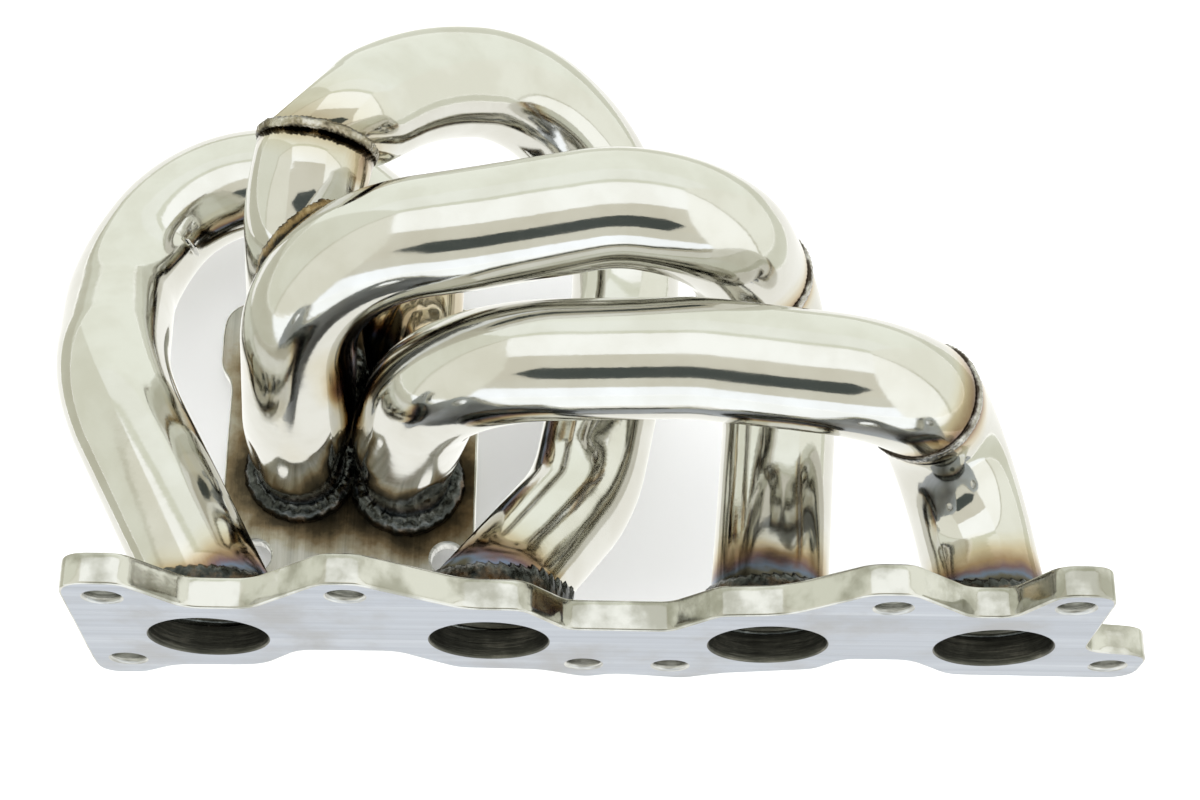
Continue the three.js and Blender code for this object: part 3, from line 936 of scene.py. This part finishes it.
def add_knee_weld(rim):
    """Weld round the shared oval rim of runner 2."""
    centre, across, along = rim
    turns = np.linspace(0, 2 * math.pi, 180, endpoint=False)
    outs = [math.cos(a) * across + math.sin(a) * along for a in turns]
    ring = bead(
        "runner2_joint_bead", [centre + out for out in outs], [unit(out) for out in outs], pale_weld,
        wide=1.7, high=0.85, pitch=1.9, ripple=0.3, rough=0.34, seed=5.0,
    )
    hand_in(ring, "weld_bead", "runner2_joint_weld")


def add_port_weld(index, line):
    ahead = unit(line[1] - line[0])
    rim, outs = tube_rim(line[0], ahead, head_back, TUBE_R)
    ring = bead(
        f"port{index}_bead", rim, [ahead] * len(outs), dark_weld, wide=3.6,
        high=PORT_BEAD_HEIGHTS[index - 1], corner=True, pitch=3.6, ripple=0.12, rough=0.4, seed=index * 3.0,
    )
    hand_in(ring, "weld_bead", f"port{index}_weld")


def add_foot_weld(index, line):
    rim, outs = tube_rim(line[-1], UP, plate_top, FOOT_R)
    ring = bead(
        f"foot{index}_bead", rim, [UP] * len(outs), dark_weld, wide=5.2, high=6.0, corner=True,
        pitch=4.2, ripple=0.1, rough=0.4, seed=index * 7.0,
    )
    hand_in(ring, "weld_bead", f"foot{index}_weld")


def add_runner_1(line):
    # The foot-end tint runs 60 mm up the leg: real weld tint near the foot, painted shade higher up between
    # the legs.
    pipe = tube(
        "runner1_pipe", line, tubes, head_back, plate_top, neck=True, heat=[(18, 1.15), (60, 1.1)],
        tint_and_shade_spots=SHADE_BETWEEN_FEET, seed=1.0,
    )
    hand_in(pipe, "polished_stainless", "runner1_tube")


def spots_from(point, spots):
    """Tint spots measured from a point, as spots in the shared frame."""
    return [(point + np.array(step), size, peak) for step, size, peak in spots]


def add_runner_2(lower, drop, three):
    """Lower tube, drop tube cut to fit over runner 3, and the weld at the knee between them."""
    knee = (lower[-1] + KNEE_SHIFT, KNEE_NORMAL)
    across = unit(np.cross(KNEE_NORMAL, UP))
    rim = (knee[0], across * TUBE_R, np.cross(KNEE_NORMAL, across) * KNEE_TALL)
    lower_pipe = tube(
        "runner2_lower_pipe", lower, tubes, head_back, knee, heat=[(26, 1.3), (5, 0.4)],
        tint_and_shade_spots=spots_from(lower[-1], ARCH_SPOTS), seed=2.0, oval=(-1, rim),
    )
    hand_in(lower_pipe, "polished_stainless", "runner2_lower_tube")
    drop_pipe = tube(
        "runner2_drop_pipe", drop, tubes, knee, plate_top, neck=True, heat=[(6, 0.6), (52, 1.1)],
        tint_and_shade_spots=spots_from(lower[-1], DROP_SPOTS) + SHADE_BETWEEN_FEET, seed=3.0, oval=(0, rim),
    )
    cut_away(drop_pipe, solid_rod("runner3_room", three, TUBE_R + CUTTER_ROOM))
    hand_in(drop_pipe, "polished_stainless", "runner2_drop_tube")
    add_knee_weld(rim)


def add_two_part_runner(number, line, distance):
    """Elbow and upper tube, welded together at a distance along the runner."""
    elbow, upper = split(line, distance)
    joint = (elbow[-1], unit(upper[1] - elbow[-2]))
    elbow_pipe = tube(
        f"runner{number}_elbow_pipe", elbow, tubes, head_back, joint, heat=[(24, 1.25), (12, 0.8)],
        seed=4.0 + number,
    )
    hand_in(elbow_pipe, "polished_stainless", f"runner{number}_elbow")
    upper_pipe = tube(
        f"runner{number}_upper_pipe", upper, tubes, joint, plate_top, neck=True,
        heat=[(12, 0.8), (26, 1.15)], tint_and_shade_spots=SHADE_BETWEEN_FEET, seed=9.0 + number,
    )
    hand_in(upper_pipe, "polished_stainless", f"runner{number}_upper_tube")
    add_joint_weld(number, joint)


def add_seam(drop, three):
    """Weld where runner 2 comes down against runner 3. It has no CAD node of its own."""
    seam = saddle_curve(drop, three, TUBE_R, TUBE_R)
    lifts = [lift for _, lift in seam]
    seam_weld = bead(
        "runner2_to_3_seam_bead", [q + SEAM_LIFT * lift for q, lift in seam], lifts, gold_weld,
        wide=3.2, high=1.3, pitch=2.0, ripple=0.22, rough=0.34, seed=6.0,
    )
    hand_in(seam_weld, "weld_bead")


def add_runners():
    one = centreline(RUNNER_1)
    lower = centreline(RUNNER_2_LOWER)
    drop = centreline(RUNNER_2_DROP)
    three = centreline(RUNNER_3)
    four = centreline(RUNNER_4)
    add_runner_1(one)
    add_runner_2(lower, drop, three)
    add_two_part_runner(3, three, RUNNER_3_JOINT)
    add_two_part_runner(4, four, RUNNER_4_JOINT)
    add_seam(drop, three)
    for index, line in enumerate((one, lower, three, four), 1):
        add_port_weld(index, line)
    for index, line in enumerate((one, drop, three, four), 1):
        add_foot_weld(index, line)


# ---------- studio ----------

CENTRE = np.array([0.0, 0.09, 0.03])
SIDE_X = 0.62


def glow(name, colour):
    """Evenly lit cloth; colour may be brighter than white."""
    material = bpy.data.materials.new(name)
    material.use_nodes = True
    tree = material.node_tree
    tree.nodes.clear()
    strength = max(colour)
    light = tree.nodes.new("ShaderNodeEmission")
    light.inputs["Color"].default_value = (*(c / strength for c in colour), 1)
    light.inputs["Strength"].default_value = strength
    out = tree.nodes.new("ShaderNodeOutputMaterial")
    tree.links.new(light.outputs["Emission"], out.inputs["Surface"])
    return material


def studio_piece(name, verts, faces, material):
    mesh = bpy.data.meshes.new(name)
    mesh.from_pydata([tuple(v) for v in verts], [], faces)
    mesh.materials.append(material)
    obj = bpy.data.objects.new(name, mesh)
    bpy.context.scene.collection.objects.link(obj)
    return obj


def cloth(name, corners, colour):
    """Flat panel of the light tent: seen in the steel, but not by the camera or the floor."""
    face = tuple(range(len(corners)))
    panel = studio_piece(name, [CENTRE + c for c in corners], [face], glow(name, colour))
    panel.visible_camera = False
    panel.visible_shadow = False
    panel.visible_diffuse = False


def add_tent():
    """Light tent, as a profile of (y, z) corners round the x axis with cloth between them."""
    profile = [
        (0.52, -0.09), (0.50, 0.45), (0.46, 0.90), (0.36, 0.93), (-0.29, 0.93),
        (-0.62, 0.74), (-0.80, 0.44), (-0.86, 0.18), (-0.88, -0.09),
    ]
    cloths = [
        ("tent_back_low", (1.16, 1.20, 1.10)), ("tent_back_high", (1.20, 1.24, 1.17)),
        ("tent_seam", (0.97, 1.0, 0.87)), ("tent_roof", (1.40, 1.43, 1.42)),
        ("tent_shade", (0.90, 0.88, 0.77)), ("tent_low_shade", (0.90, 0.88, 0.77)),
        ("tent_front", (0.90, 0.89, 0.79)), ("tent_apron", (1.44, 1.51, 1.62)),
    ]
    for (name, colour), (y0, z0), (y1, z1) in zip(cloths, profile, profile[1:]):
        cloth(name, [(-SIDE_X, y0, z0), (SIDE_X, y0, z0), (SIDE_X, y1, z1), (-SIDE_X, y1, z1)], colour)
    gap = [(-0.46, 0.5), (-0.26, 0.04), (0.28, 0.0), (0.48, 0.4), (0.26, 0.96), (-0.22, 1.0)]
    (y0, z0), (y1, z1) = profile[5:7]
    cloth("tent_gap", [(x, y0 + (y1 - y0) * k + 0.006, z0 + (z1 - z0) * k - 0.004) for x, k in gap],
          (0.09, 0.105, 0.10))
    for side, x, rear, front in (
        ("left", -SIDE_X, (0.97, 0.99, 0.87), (1.04, 1.04, 0.93)),
        ("right", SIDE_X, (1.16, 1.18, 1.08), (1.36, 1.38, 1.33)),
    ):
        cloth(f"tent_{side}_rear", [(x, y, z) for y, z in [*profile[:4], (-0.22, -0.09)]], rear)
        cloth(f"tent_{side}_front", [(x, y, z) for y, z in [(-0.22, -0.09), *profile[3:]]], front)
        inner = x - math.copysign(0.004, x)
        hem = [(0.36, 0.93), (0.33, 0.93), (-0.25, -0.09), (-0.22, -0.09)]
        cloth(f"tent_{side}_hem", [(inner, y, z) for y, z in hem], (0.8, 0.8, 0.68))


def add_floor_cloths():
    """Cloths lying on the floor, mirrored in the lowest sides of the tubes."""
    raised = -0.094
    under_plate = FLOOR_Z * MM + 0.0001 - CENTRE[2]
    for name, x0, x1, y0, y1, z, colour in (
        ("under", -0.27, 0.27, -0.22, 0.24, under_plate, (1.20, 1.20, 1.16)),
        ("back", -SIDE_X, SIDE_X, 0.24, 0.52, raised, (0.88, 0.90, 0.78)),
        ("front", -SIDE_X, SIDE_X, -0.88, -0.22, raised, (1.44, 1.50, 1.56)),
        ("left", -SIDE_X, -0.27, -0.22, 0.24, raised, (0.72, 0.72, 0.60)),
        ("right", 0.27, SIDE_X, -0.22, 0.24, raised, (0.92, 0.94, 0.82)),
    ):
        cloth(f"floor_cloth_{name}", [(x0, y0, z), (x1, y0, z), (x1, y1, z), (x0, y1, z)], colour)


def add_floor():
    """Pale table top that the manifold lies on."""
    look = Look("pale_floor", (0.9, 0.9, 0.9), 0.0, 0.8)
    look.set(look.shader.inputs["Base Color"], look.ramp(look.noise(3.0), [
        (0.3, (0.89, 0.895, 0.9)), (0.7, (0.92, 0.92, 0.92)),
    ]))
    half = 4.0
    z = FLOOR_Z * MM
    studio_piece("floor", [(-half, -half, z), (half, -half, z), (half, half, z), (-half, half, z)],
                 [(0, 1, 2, 3)], look.material)


def add_lights():
    """Two soft lamps that the steel does not mirror, and an even sky."""
    for name, x, y, z, size, power in (
        ("overhead", 0.0, 0.1, 1.6, 2.4, 6.0),
        ("front", 0.3, -1.1, 1.1, 1.4, 12.0),
    ):
        light = bpy.data.lights.new(name, "AREA")
        light.size = size
        light.energy = power
        lamp = bpy.data.objects.new(name, light)
        lamp.location = (x, y, z)
        aim = Vector((0.0, 0.09, 0.0)) - lamp.location
        lamp.rotation_euler = aim.to_track_quat("-Z", "Y").to_euler()
        lamp.visible_glossy = False
        bpy.context.scene.collection.objects.link(lamp)
    world = bpy.data.worlds.new("studio")
    world.use_nodes = True
    world.node_tree.nodes["Background"].inputs["Color"].default_value = (0.93, 0.94, 0.95, 1)
    world.node_tree.nodes["Background"].inputs["Strength"].default_value = 1.9
    bpy.context.scene.world = world


def turned(a, b, angle):
    """Two square directions turned by angle in their own plane."""
    return math.cos(angle) * a + math.sin(angle) * b, math.cos(angle) * b - math.sin(angle) * a


def add_camera():
    """Looks down the row of ports from above the head face."""
    tilt = math.radians(23.68)
    turn = math.radians(1.08)
    roll = math.radians(0.97)
    right = Vector((1, 0, 0))
    up = Vector((0, math.cos(tilt), math.sin(tilt)))
    ahead = Vector((0, math.sin(tilt), -math.cos(tilt)))
    ahead, right = turned(ahead, right, turn)
    right, up = turned(right, up, roll)
    lens = bpy.data.cameras.new("camera")
    lens.lens = 66.0
    lens.sensor_width = 36.0
    lens.clip_start = 0.01
    camera = bpy.data.objects.new("camera", lens)
    camera.matrix_world = Matrix.Translation((-0.0154, -0.2122, 0.6777)) @ Matrix(
        (right, up, -ahead)).transposed().to_4x4()
    bpy.context.scene.collection.objects.link(camera)
    bpy.context.scene.camera = camera


add_plates()
add_runners()
add_tent()
add_floor_cloths()
add_floor()
add_lights()
add_camera()
bpy.context.scene.view_settings.view_transform = "Standard"
